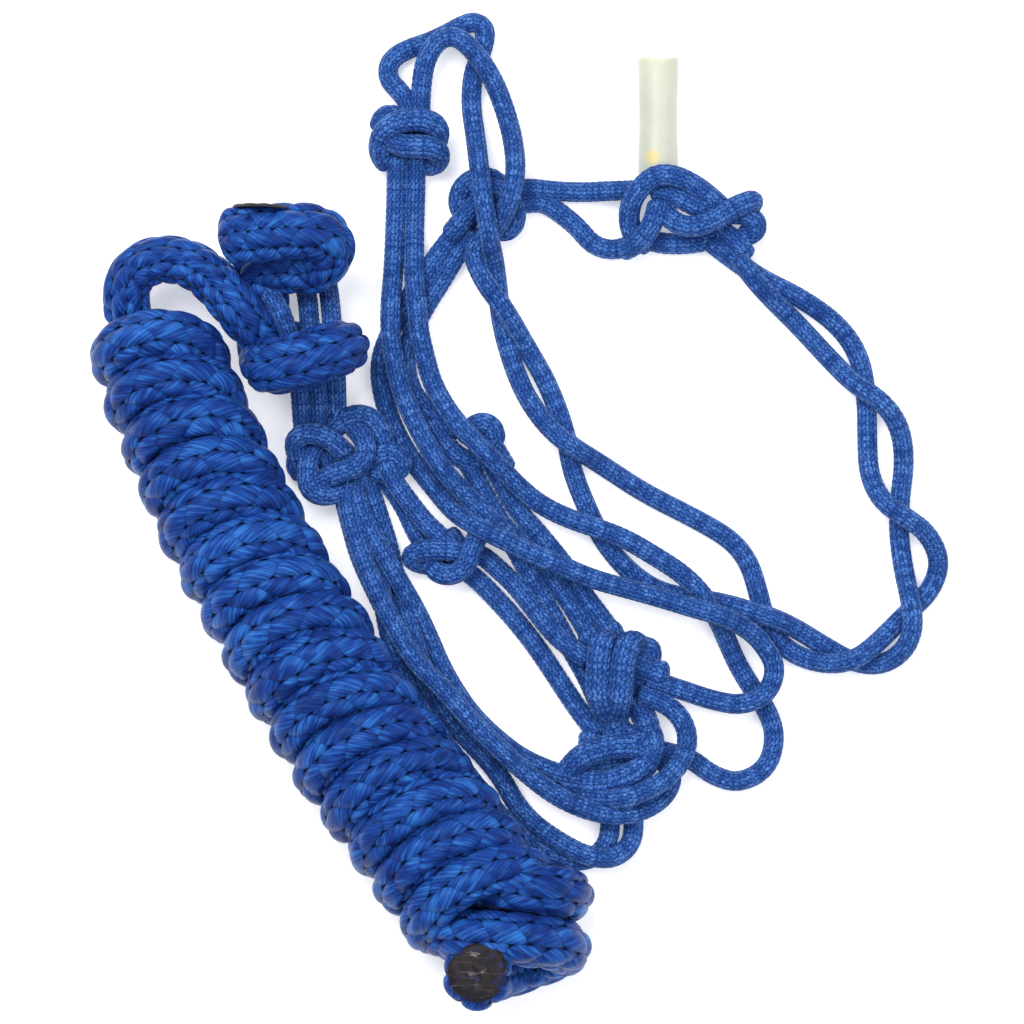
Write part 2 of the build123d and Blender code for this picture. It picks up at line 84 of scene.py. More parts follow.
# Routes of the halter's stretches: control points, in mm.
ROUTES = {
    "crown_cord_a": [
        (-34, 124, 8), (-34.5, 130, 8), (-38, 134.5, 6), (-41, 137.5, 4.5), (-41.5, 142, 3.5),
        (-39, 145.5, 3.25), (-34, 148, 3.25), (-29, 149.5, 3.25), (-23.5, 152, 3.25),
        (-18, 155, 3.25), (-14, 156.5, 3.25), (-10.5, 154.5, 3.25), (-10.5, 150.5, 3.25),
        (-12, 145.5, 3.25), (-14.5, 139, 3.25), (-15, 129.5, 3.25), (-13.5, 120, 6),
        (-12.5, 111.5, 13), (-11.5, 102.5, 17), (-10, 93.5, 17), (-9, 86.5, 15), (-7.5, 80, 8),
        (-6.5, 72, 3.25), (-5, 58, 3.25), (0.5, 41, 3.25), (6.5, 31, 7), (12.5, 24.5, 10),
        (19, 20, 10), (26.5, 15.5, 3.25), (40, 6.5, 3.25), (58, -2.5, 3.25), (68, -8.5, 3.25),
        (73.5, -15.5, 3.25), (76.5, -25.5, 3.25), (78.5, -34, 3.25), (84, -42.5, 3.25),
        (92.5, -47, 4), (102, -48, 9.75), (109.5, -45, 9.75), (116.5, -39, 4), (123.5, -32, 3.25),
        (131.5, -24.5, 3.25), (134.5, -15, 3.25), (130, -6, 6), (122.5, -1, 10), (115.5, 3.5, 10),
        (111.5, 12, 4), (111, 23.5, 3.25), (111, 35.5, 3.25), (109, 49.5, 3.25), (102, 60, 3.25),
        (90, 68.5, 3.25), (77.5, 74.5, 3.25), (67, 81.5, 4), (60, 87, 6),
    ],
    "crown_cord_b": [
        (-31, 124, 8), (-31, 130, 8), (-30.5, 137, 9), (-29.5, 143, 10), (-27, 148, 10),
        (-23.5, 151, 10), (-19.5, 151, 10), (-16, 148.5, 10), (-12, 144, 10), (-7.5, 137, 7),
        (-4, 128, 4), (-1.5, 118.5, 8), (-0.5, 108, 16), (-2.5, 98.5, 17), (-6, 91.5, 10),
        (-11.5, 87, 8), (-14.5, 82.5, 9), (-12.5, 77, 10), (-9.5, 71.5, 10), (-5.5, 66.5, 10),
        (-2, 61, 9), (2, 54, 4), (8.5, 43, 3.25), (12.5, 33.5, 3.25), (15.5, 24, 3.25),
        (17, 14, 3.25), (21.5, 2.5, 3.25), (26.5, -8, 3.25), (34, -17.5, 3.25), (43.5, -24.5, 3.25),
        (54, -27, 3.25), (62.5, -28, 3.25), (69, -29.5, 6), (75, -31.5, 9.75), (82, -33.5, 9.75),
        (89, -37, 5), (97, -42, 3.25), (106.5, -47.5, 3.25), (115.5, -48.5, 3.25), (122.5, -44, 7),
        (125.5, -36.5, 10), (124.5, -28, 10), (122.5, -17.5, 3.5), (121, -6, 3.25),
        (121.5, 5, 3.25), (123, 16.5, 3.25), (121.5, 27.5, 5), (115.5, 35.5, 10), (106.5, 41, 10),
        (99, 49, 5), (89, 60, 3.5), (80.5, 68, 8), (74, 75, 10), (69.5, 81.5, 10),
    ],
    "cheek_cord_a": [
        (-38.5, 114.5, 8), (-38.5, 105.5, 4), (-39, 91.5, 3.25), (-39.5, 77, 4), (-40.5, 66, 9.75),
        (-40.5, 56, 9.75), (-39, 46.5, 9.75), (-36.5, 37, 9.75), (-30.5, 24.5, 14.5),
        (-23.5, 13, 14.5), (-15.5, 5, 10), (-8, -2.5, 9.75), (-2, -9, 9.75), (2, -16.5, 8),
        (6.5, -25, 4.5), (12, -34, 3.25), (17, -43.5, 3.25), (22, -52, 3.25), (25.5, -60.5, 3.25),
        (28.5, -67, 4), (30, -73, 6),
    ],
    "cheek_cord_b": [
        (-32.5, 114.5, 8), (-32.5, 105.5, 4), (-33, 92, 3.25), (-33, 83.5, 5), (-33, 74.5, 9.75),
        (-32, 66, 9.75), (-31.5, 58, 9.75), (-29.5, 49.5, 8), (-27, 40.5, 8), (-21, 30.5, 14.5),
        (-14, 23, 15.5), (-7.5, 16.5, 15.5), (-1, 9.5, 10), (6.5, 3, 7), (15.5, -1.5, 9),
        (24.5, -4.5, 9.75), (34, -8, 9.75), (42.5, -13, 9.75), (52, -19, 9.75), (58.5, -25.5, 9.75),
        (63, -33, 9.75), (66.5, -40.5, 5), (69.5, -47.5, 3.25), (74, -55, 3.25), (79.5, -63, 3.25),
        (82, -71, 3.25), (79.5, -81, 3.25), (70.5, -86, 3.25), (62, -83.5, 3.25), (55, -78, 3.25),
        (48, -76, 4), (41.5, -74.5, 6),
    ],
    "throat_cord_a": [
        (-12, 98.5, 6), (-16, 94, 4), (-21, 88, 3.25), (-27.5, 79.5, 3.25), (-34, 69.5, 3.25),
        (-40, 59, 3.25), (-44, 49, 3.25), (-43.5, 39.5, 3.25), (-40.5, 29, 3.25), (-35, 18.5, 3.25),
        (-27, 8.5, 4), (-20.5, 0.5, 9), (-13.5, -4, 14), (-5.5, -8, 16.25), (4, -12.5, 16.25),
        (13.5, -16.5, 16.25), (24, -21, 12), (35, -24, 10), (46, -27, 13), (55.5, -30, 16.25),
        (65, -32.5, 16.25), (72.5, -36.5, 13), (77.5, -41, 10), (82, -48.5, 10), (79.5, -57, 9.75),
        (71.5, -61, 9.75), (62, -59.5, 8), (50.5, -55.5, 8), (40.5, -52.5, 9),
    ],
    "throat_cord_b": [
        (-14, 91.5, 5), (-16.5, 86.5, 3.5), (-20.5, 80.5, 3.25), (-24.5, 73.5, 3.25),
        (-29.5, 66, 3.25), (-34, 56.5, 3.25), (-36, 48.5, 3.25), (-34.5, 40, 3.25),
        (-29.5, 33, 3.25), (-23.5, 28.5, 4), (-19, 24, 6),
    ],
    "eye_cord_a": [
        (-4, 102.5, 6), (2.5, 103.5, 4), (11, 102.5, 3.25), (20.5, 102, 3.25), (30, 102.5, 5),
        (38, 102.5, 9),
    ],
    "eye_cord_b": [
        (-2.5, 97.5, 6), (2, 98.5, 4), (8, 99, 3.25), (13.5, 95.5, 3.25), (19, 91, 3.25),
        (23.5, 85.5, 3.25), (29.5, 83.5, 3.25), (35.5, 85, 3.25), (40.5, 89, 5), (43.5, 93, 9),
    ],
    "fiador_loop_outer": [
        (-68, 24.5, 6), (-68.5, 31.5, 8), (-69, 40.5, 12), (-70.5, 51, 18.5), (-73.5, 60.5, 21),
        (-77.5, 68.5, 20), (-82, 75, 13), (-85, 81, 5), (-82.5, 86.5, 3.25), (-75, 89, 3.25),
        (-67, 86, 3.25), (-62, 79.5, 3.25), (-60, 70.5, 5), (-59, 61.5, 13), (-58, 51.5, 18.5),
        (-57.5, 40.5, 12), (-57.5, 31.5, 8), (-57.5, 24.5, 6),
    ],
    "fiador_loop_inner": [
        (-63, 24.5, 6), (-63, 31.5, 8), (-63.5, 40.5, 12), (-65, 51, 18.5), (-66, 61, 13),
        (-67, 70, 5), (-69.5, 77.5, 3.25), (-73, 83.5, 3.25),
    ],
    "fiador_cord_a": [
        (-53.5, 10.5, 6), (-54.5, 3.5, 8), (-52.5, -4.5, 9.75), (-49.5, -13.5, 11),
        (-45.5, -23, 15), (-41, -32, 16.25), (-36.5, -40.5, 16.25), (-32, -47.5, 16.25),
        (-24, -55, 16.25), (-16, -64.5, 16.25), (-6.5, -74, 16.25), (3, -82.5, 16.25),
        (12, -89.5, 13.5), (21.5, -94, 11), (31, -96, 9.75), (40, -94.5, 8), (47, -90, 4),
        (49.5, -83.5, 3.25), (46, -78, 4), (41, -76.5, 6),
    ],
    "fiador_cord_b": [
        (-50.5, 14, 6), (-52, 7.5, 6), (-49, -2, 9), (-43.5, -11.5, 10), (-38, -21, 9.75),
        (-32.5, -30.5, 6), (-28.5, -39, 3.25), (-25, -47.5, 4), (-20.5, -55.5, 9),
        (-15, -63.5, 9.75), (-7.5, -71, 9.75), (1, -77.5, 9.75), (9.5, -81.5, 7), (18, -84, 6),
        (26, -85, 8), (34.5, -83, 9.75), (42, -78, 9.75), (44, -72.5, 9), (42, -68, 8),
    ],
    "fiador_cord_c": [
        (-48.5, 14, 6), (-47, 7.5, 4), (-44, -1.5, 3.25), (-41, -11, 3.25), (-39, -20, 3.25),
        (-37, -29, 4), (-34, -37.5, 9.75), (-31.5, -45.5, 9.75), (-28.5, -54, 8),
        (-24, -62, 3.5), (-17, -71, 3.25), (-10, -78, 3.25), (-5, -84.5, 3.25), (-1, -92, 3.25),
        (4.5, -98.5, 3.25), (12.5, -104, 6), (21, -108.5, 9.75), (30, -110, 8), (36, -105.5, 4),
        (37, -98.5, 3.25), (36, -91.5, 3.25), (34.5, -84.5, 3.25), (33, -78, 4),
    ],
    "fiador_cord_d": [
        (-56.5, 10.5, 6), (-55, 3.5, 3.25), (-53, -4.5, 3.25), (-50.5, -13.5, 3.25),
        (-46, -23.5, 3.25), (-41.5, -32.5, 3.25), (-36.5, -40.5, 3.25), (-31, -48.5, 3.25),
        (-25, -55.5, 3.25), (-16, -64, 3.25), (-7.5, -74, 3.25), (2, -82, 3.25), (11, -87.5, 3.25),
        (19, -89.5, 4.5), (26, -90.5, 9), (33, -90.5, 14), (40.5, -88, 14), (48, -83.5, 13),
        (53, -77, 10), (54, -69.5, 9.75), (50.5, -63, 9.75), (44, -59, 9), (37.5, -57, 9),
    ],
    "fiador_cord_e": [
        (-52.5, 14.5, 6), (-51.5, 8, 4), (-49, -2, 3.25), (-46, -12.5, 4), (-44, -21, 8),
        (-42.5, -29.5, 9.75), (-41, -38, 9.75), (-38, -46.5, 9.75), (-34, -55.5, 5.5),
        (-28.5, -64.5, 3.25), (-22, -75, 3.25), (-15, -84.5, 3.25), (-8.5, -93, 3.25),
        (-1.5, -101, 3.25), (6.5, -107, 3.25), (15, -110.5, 3.25), (23, -110.5, 3.25),
        (28.5, -105.5, 3.25), (29.5, -98.5, 3.25), (29.5, -91, 3.25), (28.5, -84.5, 3.25),
        (27.5, -78, 4),
    ],
    "nose_cord_a": [
        (-42.5, 17, 10), (-40, 11, 9.75), (-34.5, 3.5, 9.75), (-29, -3.5, 9), (-23, -8.5, 9),
        (-19.5, -15, 9),
    ],
    "nose_cord_b": [
        (-47, 16, 5), (-41, 9.5, 3.25), (-36, 2, 3.25), (-33, -5, 3.25), (-29.5, -11, 3.25),
        (-25, -17, 4),
    ],
    "nose_cord_c": [
        (-20, -16, 6), (-14, -20, 4), (-8.5, -25.5, 3.25), (-2, -32.5, 3.25), (4.5, -40.5, 3.25),
        (10, -48.5, 3.25), (15.5, -57, 3.25), (21, -65, 4), (26, -71, 6),
    ],
    "nose_cord_d": [
        (-17, -11.5, 6), (-11.5, -13, 4), (-6.5, -17.5, 4), (-1.5, -22, 6), (4.5, -29.5, 9),
        (11, -38, 9.75), (17, -43, 9.75), (23, -47, 9),
    ],
    "chin_cord_a": [
        (-17.5, 18.5, 6), (-13.5, 11.5, 4), (-9, 3, 3.25), (-4.5, -4.5, 3.25), (1.5, -9.5, 3.25),
        (6, -16, 3.25), (11, -21, 3.25), (15.5, -27, 3.25), (20, -34, 4), (23.5, -40.5, 7),
    ],
    "chin_cord_b": [
        (-10.5, 19, 6), (-6.5, 12.5, 4), (-2.5, 4.5, 3.25), (1.5, -1, 3.25), (7, -7, 3.25),
        (12, -13, 3.25), (17, -19.5, 3.25), (21, -26, 3.25), (26, -32.5, 4), (30.5, -38.5, 7),
    ],
    "link_cord_a": [
        (35.5, -57, 6), (39.5, -63, 5), (42, -70, 5), (41.5, -76.5, 6),
    ],
}


# The lead rope, in mm: its free run, and its hank's turns, which wind_hank works out.
LEAD_RUN = [
    (-122.5, 59.5, 18), (-124, 67, 20.5), (-122.5, 75, 21), (-115.5, 80, 22), (-106.5, 80, 22),
    (-98.5, 76, 21.5), (-92, 69, 21.5), (-87, 62.5, 21.5), (-81, 56, 17), (-73.5, 53, 9),
    (-56.5, 52, 8), (-54, 52.5, 31), (-77.5, 45, 33), (-79.5, 49, 9), (-81, 64, 8),
    (-83, 74.5, 13), (-78, 79, 17), (-70, 78, 18), (-62, 78.5, 20), (-59.5, 85.5, 26),
    (-65, 88.5, 32), (-74, 88.3, 33), (-84, 87.5, 33), (-94, 86, 33),
]
HANK_AXIS = [
    (-117, 62), (-115.5, 56.5), (-109.5, 38), (-93, 0.5), (-72, -37),
    (-48, -75.5), (-28.5, -100.5), (-20.5, -112), (-17, -116.5), (-4.5, -132.5),
]
HANK_START = [                   # from the free run down behind the first turn
    (-123.7, 66, 20.5), (-122, 57, 15), (-117, 51, 9),
]
HANK_TURNS = 15                  # fronts that show
HANK_FIRST = 14.3                # how far down the axis the first turn is
HANK_PITCH = 14.2
HANK_LEAN = 8.6                  # each turn is this much nearer the top in front than behind
HANK_HALF_WIDTH = (14.0, 18.8)   # of the rope's middle line, at the top and at the bottom
HANK_HALF_HEIGHT = (12.0, 14.5)
HANK_MIDDLE_HEIGHT = (20.0, 22.5)
HANK_BEFORE = 0.4                # turns wound before the first front
HANK_AFTER = 0.6                 # turns left out after the last front
AXIS_REACH = 8                   # the axis points from this far above to this far below
HANK_END = [                     # the last two loops, and the free end that stands up
    (-20, -119, 12), (-12, -116.5, 22), (-2, -117, 31), (8, -118, 33), (15.5, -119.5, 26),
    (16.5, -121, 14), (8, -125, 8), (-8, -129, 8), (-20, -131, 10), (-24, -132.5, 20),
    (-18, -132.5, 30), (-6, -133, 34), (6, -134, 33), (15, -136, 25), (14.5, -138.5, 13),
    (6, -142, 9), (-2, -145, 9), (-8, -146, 15), (-12.5, -145.3, 26), (-13.2, -144.3, 38),
]
TURN_STEPS = 16                  # control points to a turn


# The knots: the loops of cord that show in each one, in mm.
KNOTS = {
    "crown_knot": [
        [(-34, 125.5, 8), (-36.5, 119.5, 7), (-38.5, 113.5, 8)],
        [(-31, 125.5, 8), (-31.5, 119.5, 7), (-32.5, 113.5, 8)],
        [(-27, 116, 6), (-25, 119.5, 9), (-26, 123, 13), (-30, 124.5, 15.5), (-35, 124.5, 16),
         (-40, 123, 15), (-43, 120, 12), (-44, 116, 9), (-43, 112.5, 6), (-40.5, 110.5, 4)],
        [(-39.5, 118, 10), (-37.5, 116.5, 14), (-34, 116, 15.5), (-29, 116, 15.5), (-25.5, 115, 12),
         (-25, 112.5, 8), (-27, 110.5, 5), (-30.5, 111, 4)],
        [(-37.5, 125.5, 6), (-41, 126.5, 7), (-43.5, 124.5, 6), (-44, 121, 5)],
    ],
    "cheek_ring_knot": [
        [(-4, 102, 4), (-6.5, 105.5, 6), (-11, 107, 7), (-15.5, 105.5, 8), (-18.5, 102, 8),
         (-19, 97.5, 7), (-16.5, 94, 5), (-12, 94, 4)],
        [(-15.5, 101, 9), (-11, 103.5, 9.5), (-6, 102.5, 9.5), (-2, 99, 9), (-0.5, 95, 8),
         (-1.5, 91, 6), (-5, 89, 5), (-8, 91.5, 5)],
        [(-18.5, 99, 4), (-13.5, 96.5, 8), (-8.5, 96.5, 8), (-3, 98, 6), (0, 98.5, 4)],
        [(-16, 100.5, 4), (-12, 99, 5), (-7.5, 100, 5), (-4, 100.5, 4)],
        [(-11, 100, 8), (-14.5, 96.5, 10.5), (-18.5, 92, 9), (-22, 88, 5)],
    ],
    "crown_tie_knot": [
        [(42.5, 84.5, 4), (39, 86, 5), (36, 89, 7), (35, 94, 9), (36, 99, 12), (39, 103.5, 14),
         (43.5, 107, 15), (49, 107, 15), (55, 104.5, 14), (60, 101, 12), (63.5, 98, 9), (67, 95, 6)],
        [(32.5, 83, 5), (36.5, 84.5, 8), (40.5, 88, 12), (43.5, 93.5, 13), (44.5, 99, 10)],
        [(46, 99, 6), (46.5, 95.5, 10), (49.5, 92, 13), (54, 90.5, 14.5), (59.5, 91.5, 14),
         (64.5, 94.5, 13), (69.5, 97.5, 12), (73.5, 99, 11), (75, 99, 8), (73.5, 97.5, 5)],
        [(42, 102.5, 9), (47, 102, 11), (52, 99.5, 11.5), (57, 97, 11), (62, 95.5, 9), (67, 95, 7),
         (71.5, 95, 7), (75, 93.5, 7), (76, 90.5, 6), (73.5, 88, 5), (69.5, 88.5, 4)],
        [(39, 88, 3.5), (43.5, 86, 4), (51.5, 85.5, 4), (60, 86.5, 4), (65.5, 89, 4)],
        [(63, 91, 5), (67.5, 88, 6), (71.5, 83.5, 6), (73.5, 81, 5)],
    ],
    "throat_loop_knot": [
        [(-69.5, 17.5, 5), (-71.5, 21.5, 8), (-69, 25, 11), (-64.5, 25.5, 12), (-59.5, 23.5, 12),
         (-55, 19.5, 9), (-52.5, 16.5, 6)],
        [(-62.5, 23, 4), (-65.5, 19.5, 7), (-67, 14, 9), (-66.5, 8, 10), (-63, 5.5, 10), (-58, 6, 8),
         (-53.5, 9, 5)],
        [(-62, 22, 5), (-59, 27, 8), (-55, 30, 10), (-50.5, 31.5, 11), (-46, 30, 11), (-43, 25.5, 10),
         (-42, 21, 8), (-43.5, 16.5, 5)],
        [(-53, 28, 8), (-50, 25.5, 12), (-48, 21, 13), (-48.5, 17, 13), (-53, 14, 12.5),
         (-58, 12.5, 12), (-63, 10, 8)],
        [(-49, 12.5, 5), (-46, 16.5, 8), (-42, 19.5, 10), (-38, 18.5, 10), (-36.5, 15.5, 9),
         (-38.5, 13, 8), (-42.5, 12.5, 8), (-47.5, 14, 7)],
        [(-67.5, 20, 4), (-70.5, 17.5, 4), (-70.5, 14, 4), (-67.5, 11.5, 4)],
        [(-63.5, 20, 3.5), (-61, 16.5, 4), (-58.5, 12.5, 3.5)],
        [(-60, 21, 3.5), (-56.5, 17, 4), (-55.5, 12.5, 3.5)],
    ],
    "nose_knot_left": [
        [(-14.5, -16, 5), (-18, -12.5, 9), (-22.5, -11.5, 11), (-28, -11.5, 11), (-33, -12.5, 9),
         (-34, -14.5, 7), (-31, -16, 5), (-27, -16.5, 4)],
        [(-9, -1.5, 4), (-12, -5.5, 8), (-14.5, -11, 11), (-16, -16, 12), (-20, -19.5, 11),
         (-24, -19.5, 10), (-27, -17.5, 9), (-27.5, -14, 6)],
        [(-23, -5.5, 3.5), (-20, -8.5, 3.5), (-18.5, -13, 3.5), (-21, -16, 4), (-25, -15.5, 4)],
    ],
    "cheek_knot": [
        [(-16.5, 22, 5), (-15.5, 26.5, 7), (-12, 29, 7.5), (-8.5, 28, 7.5), (-7, 24.5, 7),
         (-8.5, 22, 6), (-12.5, 21, 5)],
        [(-12, 24.5, 4), (-8.5, 22, 5.5), (-5.5, 17.5, 5), (-3, 13, 4)],
        [(-28, 30, 4), (-25, 24.5, 5), (-21, 19.5, 6), (-16.5, 16.5, 6), (-11.5, 16, 4)],
    ],
    "nose_knot_right": [
        [(31, -43, 6), (28, -40, 11), (26, -42, 15), (25.5, -47.5, 16), (25, -55, 16), (26, -60.5, 13),
         (28.5, -63, 8), (31, -61.5, 4)],
        [(39, -43, 7), (36.5, -40, 12), (34, -43, 16), (33, -48.5, 17), (32.5, -55.5, 17),
         (32, -60, 14), (30.5, -63, 8), (27.5, -61.5, 4)],
        [(37, -45, 6), (39, -43, 7), (41.5, -43, 7), (42, -45.5, 6), (40, -48, 5)],
        [(35, -57, 6), (30, -65, 5), (33, -70.5, 5), (41.5, -74.5, 6)],
        [(35, -46.5, 9), (39, -48.5, 9), (43, -50, 9.5), (48, -51.5, 9.5)],
        [(21, -37, 6), (24, -41, 7), (27.5, -46.5, 8)],
        [(28, -35, 6), (30.5, -39.5, 7), (33, -45.5, 8)],
        [(34.5, -50, 5), (37.5, -53, 5), (41.5, -55, 6)],
        [(35, -52.5, 5), (36.5, -57.5, 5), (38, -62, 4)],
    ],
    "chin_knot": [
        [(15.5, -83, 5), (17.5, -79.5, 8), (21, -76.5, 10), (26, -74.5, 11), (32, -73.5, 11),
         (37, -73.5, 9), (41.5, -76, 6)],
        [(13.5, -85, 4), (21.5, -86.5, 6), (29.5, -86, 8), (36.5, -83.5, 9), (41, -79.5, 9),
         (42.5, -74.5, 8), (39, -71.5, 6), (33, -70.5, 5)],
        [(18, -81, 3.5), (26, -80, 3.5), (39.5, -78, 3.5)],
        [(23.5, -69, 5), (22.5, -73.5, 6), (24, -77.5, 6)],
    ],
}


def metres(route):
    return [(x * MM, y * MM, z * MM) for x, y, z in route]


def smooth_line(route, step):
    """Points on the NURBS spline that has the route as its control points, evenly apart."""
    curve = bpy.data.curves.new("route", "CURVE")
    curve.dimensions = "3D"
    curve.resolution_u = 24
    spline = curve.splines.new("NURBS")
    spline.points.add(len(route) - 1)
    for point, corner in zip(spline.points, metres(route)):
        point.co = (*corner, 1)
    spline.order_u = 3
    spline.use_endpoint_u = True
    holder = bpy.data.objects.new("route", curve)
    mesh = bpy.data.meshes.new_from_object(holder)
    line = np.array([vertex.co for vertex in mesh.vertices])
    bpy.data.objects.remove(holder)
    bpy.data.meshes.remove(mesh)
    return even_line(line, step)


def even_line(line, step):
    """The same line, with its points evenly apart and near a step from each other."""
    run = distances(line)
    count = max(4, int(round(run[-1] / step)) + 1)
    wanted = np.linspace(0, run[-1], count)
    return np.stack([np.interp(wanted, run, line[:, axis]) for axis in range(3)], axis=1)


def distances(line):
    """How far along the line each of its points is."""
    steps = np.linalg.norm(np.diff(line, axis=0), axis=1)
    return np.concatenate([[0], np.cumsum(steps)])


def braid_height(column, run, slant):
    """The braid's surface, 0 in its gaps to 1 on a strand's crown.

    column counts the columns of strands round the cord, and run the strands along one column.
    """
    odd = np.mod(np.floor(column), 2)
    across = column - np.floor(column)
    along = run + 0.5 * odd + slant * (across - 0.5) * (1 - 2 * odd)
    along = along - np.floor(along)
    return (1 - (2 * across - 1) ** 2) * (1 - np.abs(2 * along - 1) ** 3)


def ring_frames(line):
    """Two sideways directions at each point of the line, carried along without twist."""
    tangents = np.gradient(line, axis=0)
    tangents /= np.linalg.norm(tangents, axis=1)[:, None]
    side = np.cross(tangents[0], (0, 0, 1.0))
    if np.linalg.norm(side) < 0.1:
        side = np.cross(tangents[0], (0, 1.0, 0))
    down = np.cross(side, tangents[0])
    downs = []
    for tangent in tangents:
        down = down - tangent * np.dot(down, tangent)
        down /= np.linalg.norm(down)
        downs.append(down)
    downs = np.array(downs)
    return downs, np.cross(tangents, downs)


def tube_places(line, radius, braid, around, swell):
    """The tube's points, ring after ring: strands stand out, and both ends are rounded."""
    columns, pitch, depth, slant = braid
    first, second = ring_frames(line)
    run = distances(line)
    turn = np.arange(around) / around
    height = braid_height(columns * turn[None, :], run[:, None] / pitch, slant) ** CROWN_SHAPE
    end = np.minimum(run, run[-1] - run) / radius
    rounding = np.clip(1 - (1 - np.clip(end / END_ROUNDING, 0, 1)) ** 2, 0.02, 1)
    swell = swell * np.sqrt(rounding)
    reach = radius * swell[:, None] * (1 - depth * (1 - height))
    angle = 2 * math.pi * turn[None, :, None]
    outward = first[:, None, :] * np.cos(angle) + second[:, None, :] * np.sin(angle)
    return (line[:, None, :] + outward * reach[:, :, None]).reshape(-1, 3)


def braided_mesh(name, line, radius, braid, around, swell=None):
    """A closed braided tube along the line, with its strand coordinates as a UV map."""
    columns, pitch, _, _ = braid
    run = distances(line)
    count = len(line)
    places = tube_places(line, radius, braid, around, np.ones(count) if swell is None else swell)
    # Faces between rings of points, and a fan of triangles to a middle point at each end.
    ring = np.arange(count - 1)[:, None] * around
    near, far = np.arange(around)[None, :], (np.arange(around)[None, :] + 1) % around
    corners = [ring + near, ring + far, ring + around + far, ring + around + near]
    faces = np.stack(corners, axis=2).reshape(-1, 4)
    vertices = np.vstack([places, line[:1], line[-1:]])
    top, tip = (count - 1) * around, count * around
    caps = [(int(f), int(n), tip) for n, f in zip(near[0], far[0])]
    caps += [(top + int(n), top + int(f), tip + 1) for n, f in zip(near[0], far[0])]
    mesh = bpy.data.meshes.new(name)
    mesh.from_pydata(vertices.tolist(), [], faces.tolist() + caps)
    turns = np.stack([near, near + 1, near + 1, near], axis=2) * (columns / around)
    alongs = np.stack([run[:-1], run[:-1], run[1:], run[1:]], axis=1)[:, None, :] / pitch
    coordinates = np.stack(np.broadcast_arrays(turns, alongs), axis=3)
    flat = np.concatenate([coordinates.reshape(-1), np.zeros(len(caps) * 6)])
    mesh.uv_layers.new(name="strands").data.foreach_set("uv", flat.astype(np.float32))
    mesh.shade_smooth()
    return mesh


def ring_mesh(name, places, turns, inside_out=False):
    """Rings of points, so many to a ring, each joined to the next. Inside out, the last is closed."""
    faces = []
    for start in range(0, len(places) - turns, turns):
        for step in range(turns):
            after = (step + 1) % turns
            face = (start + step, start + after, start + turns + after, start + turns + step)
            faces.append(face[:1] + face[:0:-1] if inside_out else face)
    if inside_out:
        faces.append(tuple(range(len(places) - turns, len(places))))
    mesh = bpy.data.meshes.new(name)
    mesh.from_pydata(places, [], faces)
    mesh.shade_smooth()
    return mesh


def shown(name, mesh, material):
    piece = bpy.data.objects.new(name, mesh)
    mesh.materials.append(material)
    bpy.context.scene.collection.objects.link(piece)
    return piece


def joined(name, meshes, material):
    """One piece from several meshes that share a material."""
    parts = [shown(f"{name}_{index}", mesh, material) for index, mesh in enumerate(meshes)]
    with bpy.context.temp_override(active_object=parts[0], selected_editable_objects=parts):
        bpy.ops.object.join()
    parts[0].name = name
    return parts[0]


class Nodes:
    """Shorthand for a material's node tree."""

    def __init__(self, name):
        self.material = bpy.data.materials.new(name)
        self.material.use_nodes = True
        self.tree = self.material.node_tree
        self.surface = self.tree.nodes["Principled BSDF"]

    def add(self, kind, **settings):
        node = self.tree.nodes.new(kind)
        for key, value in settings.items():
            setattr(node, key, value)
        return node

    def put(self, value, socket):
        if isinstance(value, bpy.types.NodeSocket):
            self.tree.links.new(value, socket)
        else:
            socket.default_value = value

    def look(self, name, value):
        """Sets one input of the surface."""
        self.put(value, self.surface.inputs[name])

    def math(self, operation, *values):
        node = self.add("ShaderNodeMath", operation=operation)
        for value, socket in zip(values, node.inputs):
            self.put(value, socket)
        return node.outputs[0]

    def vector(self, x=0.0, y=0.0, z=0.0):
        node = self.add("ShaderNodeCombineXYZ")
        for value, socket in zip((x, y, z), node.inputs):
            self.put(value, socket)
        return node.outputs[0]

    def noise(self, place, scale, detail=2.0):
        node = self.add("ShaderNodeTexNoise")
        self.put(place, node.inputs["Vector"])
        node.inputs["Scale"].default_value = scale
        node.inputs["Detail"].default_value = detail
        return node.outputs[0]

    def ease(self, value, start, stop, low=0.0, high=1.0):
        """low where the value is at start, high where it is at stop, and smooth between."""
        node = self.add("ShaderNodeMapRange", interpolation_type="SMOOTHSTEP")
        self.put(value, node.inputs["Value"])
        node.inputs["From Min"].default_value = start
        node.inputs["From Max"].default_value = stop
        node.inputs["To Min"].default_value = low
        node.inputs["To Max"].default_value = high
        return node.outputs[0]

    def ramp(self, share, stops):
        """Colours along the share. A ramp has two stops at first, so its two ends are given first."""
        node = self.add("ShaderNodeValToRGB")
        ramp = node.color_ramp
        for index, (place, colour) in enumerate(stops):
            stop = ramp.elements[index] if index < 2 else ramp.elements.new(place)
            stop.position = place
            stop.color = (*colour, 1)
        self.put(share, node.inputs[0])
        return node.outputs[0]

    def mix(self, share, first, second):
        node = self.add("ShaderNodeMix", data_type="RGBA")
        sockets = (node.inputs[0], node.inputs[6], node.inputs[7])
        for value, socket in zip((share, first, second), sockets):
            self.put((*value, 1) if isinstance(value, tuple) else value, socket)
        return node.outputs[2]

    def bump(self, height, distance, strength=1.0):
        node = self.add("ShaderNodeBump")
        node.inputs["Strength"].default_value = strength
        node.inputs["Distance"].default_value = distance
        self.put(height, node.inputs["Height"])
        self.look("Normal", node.outputs[0])


